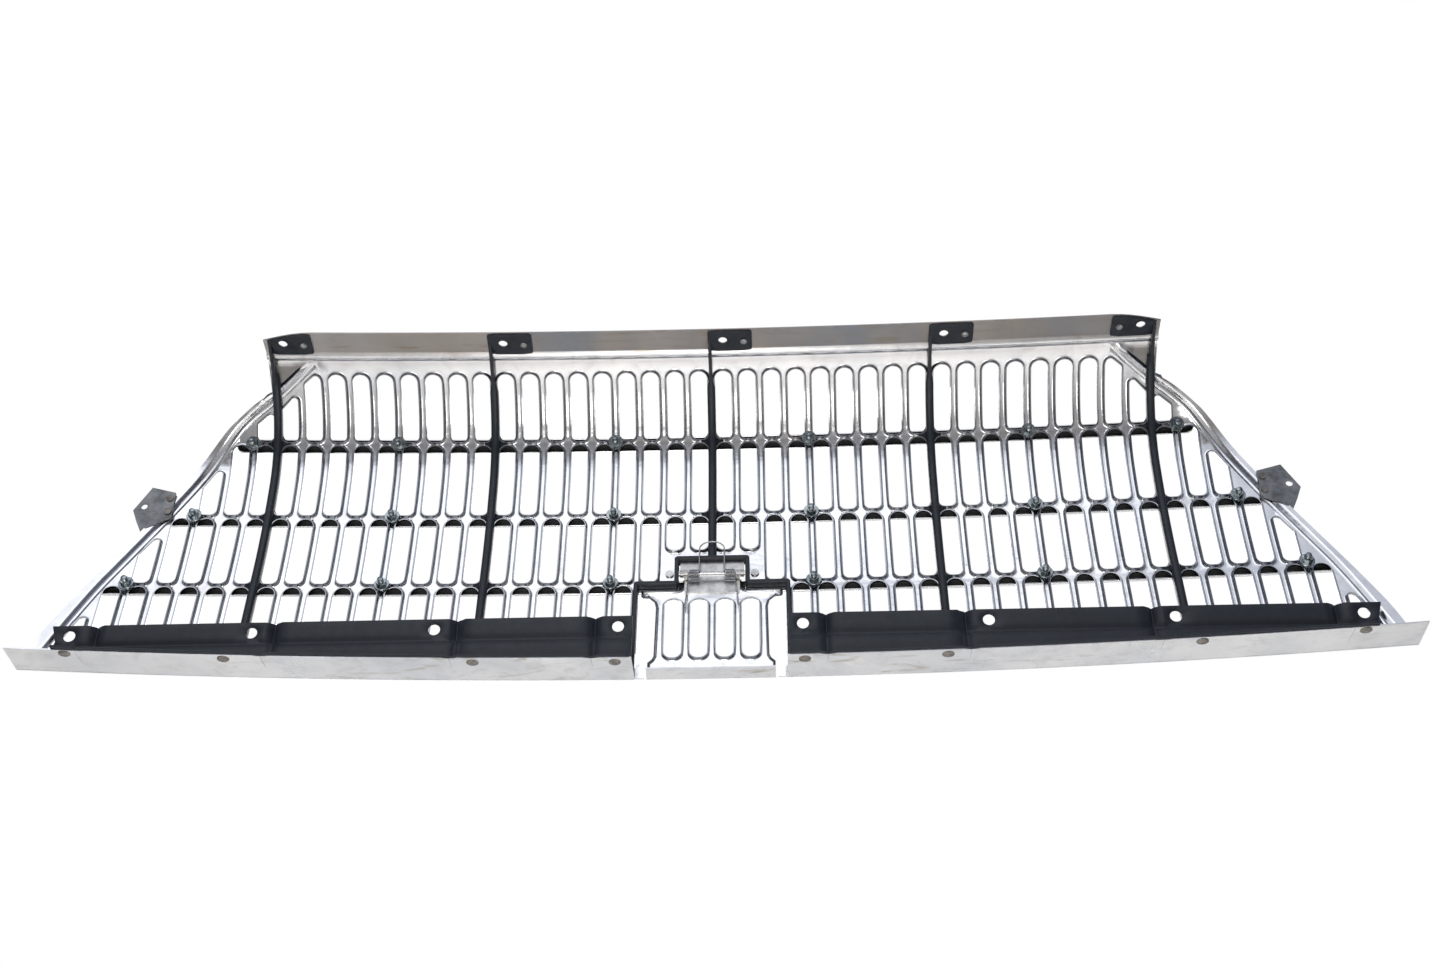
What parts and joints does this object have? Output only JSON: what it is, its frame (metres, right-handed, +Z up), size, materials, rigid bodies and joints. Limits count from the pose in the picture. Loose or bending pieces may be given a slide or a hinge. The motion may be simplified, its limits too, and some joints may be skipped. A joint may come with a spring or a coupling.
{
  "type": "car front grille",
  "caption": "Bowed trapezoid pressed-aluminium car grille with rows of upright slots, cross mouldings, black rear braces and a sprung starting-handle flap.",
  "frame": {"origin": "on the centre line, midway between the two inner bolt holes of the lower brackets, in the middle of their walls", "axes": "+X to the car's left, +Y rearward into the car, +Z up"},
  "size_m": [1.1636, 0.1043, 0.3223],
  "materials": {
    "bright_aluminium": "bright, lightly stained",
    "black_paint": "satin black",
    "polished_trim": "polished in front, black behind",
    "dark_zinc": "dulled dark zinc",
    "rivet_steel": "weathered",
    "spring_steel": "bright wire",
    "galvanised": "dull galvanised",
    "plated_steel": "zinc plated, slightly stained"
  },
  "bodies": {
    "grille": {"grille_panel": "bright_aluminium", "brace_centre": "black_paint", "brace_inner_left": "black_paint", "brace_inner_right": "black_paint", "brace_outer_left": "black_paint", "brace_outer_right": "black_paint", "brace_rivets": "rivet_steel", "moulding_upper": "polished_trim", "moulding_middle": "polished_trim", "moulding_lower": "polished_trim", "moulding_studs": "dark_zinc", "stud_washers": "dark_zinc", "stud_nuts": "dark_zinc", "bracket_lower_left": "black_paint", "bracket_lower_right": "black_paint", "bracket_rivets": "rivet_steel", "flap_frame": "black_paint", "hinge_leaf": "plated_steel", "hinge_rivets": "plated_steel", "hinge_pin": "spring_steel", "hinge_spring": "spring_steel", "flap_stops": "plated_steel", "side_bracket_left": "galvanised", "side_bracket_right": "galvanised", "side_rivets": "galvanised"},
    "flap_door": {"flap": "bright_aluminium", "flap_leaf": "plated_steel"}
  },
  "joints": [
    {"name": "flap_hinge", "type": "hinge", "parent": "grille", "child": "flap_door", "pos_m": [0, -0.03269, 0.06786], "axis": [1, 0, 0], "range_deg": [0, 65], "stiffness_Nm_per_rad": 0.08, "springref_deg": -45.84, "deforming": ["hinge_spring"]}
  ]
}
